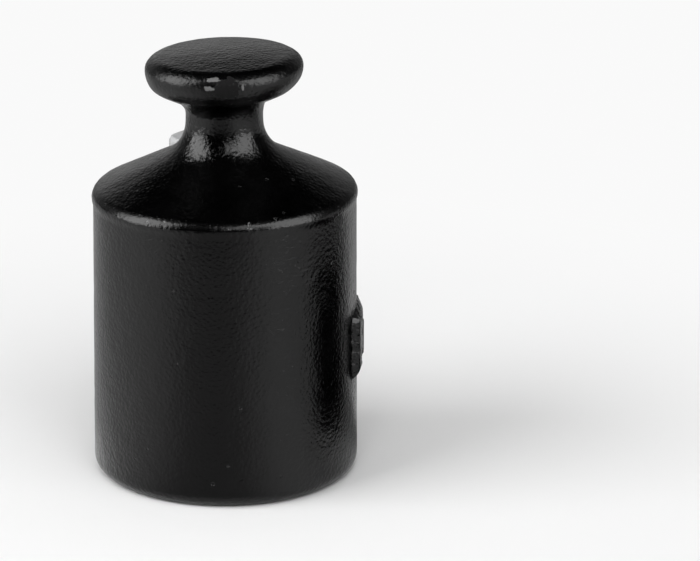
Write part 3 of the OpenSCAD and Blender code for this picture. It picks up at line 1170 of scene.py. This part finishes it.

# %% [markdown]
# The wall mirrors the table, and the table isn't equally bright all round: dark things stand beside
# a camera, and the table near a soft box is the brightest. A thin sheet just above the table paints
# that shade and light into the reflection. Only gloss sees it, and it passes the table's own light
# through, shadow and all, less or more of it by direction, and glows where the mirrored table is to
# shine brighter than the table's white.

# %% Table sheet
SHEET_LIFT = 0.5
SHEET_SPAN = (28, 2900)
SHEET_TOP = 1.5
TABLE_WHITE = 0.93
# Brightness of the mirrored table by azimuth from the camera, in degrees: painted shade and light for the
# reflection.
NEAR_TABLE = [
    (-180, 0.45), (-160, 0.5), (-135, 0.62), (-113, 0.78), (-102, 0.95), (-91, 1.1), (-75, 1.25),
    (-59, 1.18), (-48, 1.08), (-37, 0.82), (-27, 0.58), (-5, 0.5), (9, 0.56), (18, 0.78), (32, 1.2),
    (48, 1.2), (59, 0.95), (66, 0.95), (80, 0.95), (92, 0.75), (100, 0.55), (108, 0.36), (116, 0.33),
    (123, 0.55), (129, 0.85), (137, 0.85), (146, 0.5), (160, 0.4), (180, 0.45),
]
FAR_TABLE = [
    (-180, 0.3), (-150, 0.5), (-120, 0.65), (-100, 1.0), (-60, 1.2), (-50, 1.0), (-38, 0.3), (-10, 0.15),
    (5, 0.3), (18, 0.6), (30, 1.0), (66, 1.3), (84, 1.0), (110, 0.8), (135, 0.5), (160, 0.4), (180, 0.3),
]
FAR_FROM = (0.2, 0.4)


def turn_ramp(tree, turn, stops):
    """A ramp over the azimuth from (degrees, brightness) stops."""
    spread = [((azimuth + 180) / 360, bright / SHEET_TOP) for azimuth, bright in stops]
    return multiply(tree, ramp(tree, turn, spread), SHEET_TOP)


def for_gloss_alone(obj):
    """Leaves an object to mirrored rays only."""
    obj.visible_camera = False
    obj.visible_diffuse = False
    obj.visible_shadow = False


def make_sheet():
    """A ring just above the table that passes on the table's light by direction, for gloss alone: painted
    shade and light in the reflection.
    """
    count = FLOOR_SIDES
    angles = np.linspace(0, 2 * math.pi, count, endpoint=False)
    ring = [(math.cos(a), math.sin(a)) for a in angles]
    points = [(r * MM * x, r * MM * y, SHEET_LIFT * MM) for r in SHEET_SPAN for x, y in ring]
    faces = [(i, i + count, (i + 1) % count + count, (i + 1) % count) for i in range(count)]
    mesh = bpy.data.meshes.new("painted_table_reflection")
    mesh.from_pydata(points, [], faces)
    sheet = new_object("painted_table_reflection", mesh)
    material = bpy.data.materials.new("painted_table_reflection")
    tree = empty_tree(material)
    spot = object_spot(tree)
    parts = split(tree, spot)
    turn = math_node(tree, "ARCTAN2", parts["X"], multiply(tree, parts["Y"], -1.0))
    turn = map_range(tree, turn, -math.pi, math.pi, kind="LINEAR")
    far = map_range(tree, vector_node(tree, "LENGTH", spot, output=1), *FAR_FROM)
    bright = mix_values(tree, far, turn_ramp(tree, turn, NEAR_TABLE), turn_ramp(tree, turn, FAR_TABLE))
    passed = math_node(tree, "DIVIDE", bright, TABLE_WHITE, clamp=True)
    extra = math_node(tree, "MAXIMUM", math_node(tree, "SUBTRACT", bright, TABLE_WHITE), 0.0)
    clear = add_node(tree, "ShaderNodeBsdfTransparent", Color=passed)
    glow = add_node(tree, "ShaderNodeEmission", Strength=extra)
    both = tree.nodes.new("ShaderNodeAddShader")
    for socket, layer in zip(both.inputs, (clear, glow)):
        feed(tree, socket, layer.outputs[0])
    add_node(tree, "ShaderNodeOutputMaterial", Surface=both.outputs[0])
    mesh.materials.append(material)
    for_gloss_alone(sheet)


make_sheet()

# %% [markdown]
# Gloss also mirrors what stands beside a subject. A dark card bent to a drum stands on the table at
# the pad's side, seen by gloss alone, as a painted reflection: it draws the dark upright band on the
# right of the wall, casts no shadow and isn't seen by the camera.

# %% Dark drum
DRUM_PLACE = (67, -6)
DRUM_R = 21
DRUM_H = 30
DRUM_SIDES = 64
DRUM_GREY = 0.01


def make_drum():
    """A closed drum that only gloss sees, a painted dark reflection."""
    points = [(DRUM_R, SHEET_LIFT * 2), (DRUM_R, DRUM_H - 1), (DRUM_R - 1, DRUM_H), (0, DRUM_H)]
    drum = new_object("dark_drum", turned_mesh("dark_drum", points, DRUM_PLACE, DRUM_SIDES))
    material, tree, shader = new_material("painted_dark_reflection")
    fill(tree, shader, base_color=(DRUM_GREY,) * 3 + (1,), roughness=0.8, specular_ior_level=0.0)
    drum.data.materials.append(material)
    for_gloss_alone(drum)


make_drum()

# %% [markdown]
# ## Standard view
#
# Colours should come out as they are written, so the view transform is the plain one.

# %% Finish
bpy.context.scene.view_settings.view_transform = "Standard"
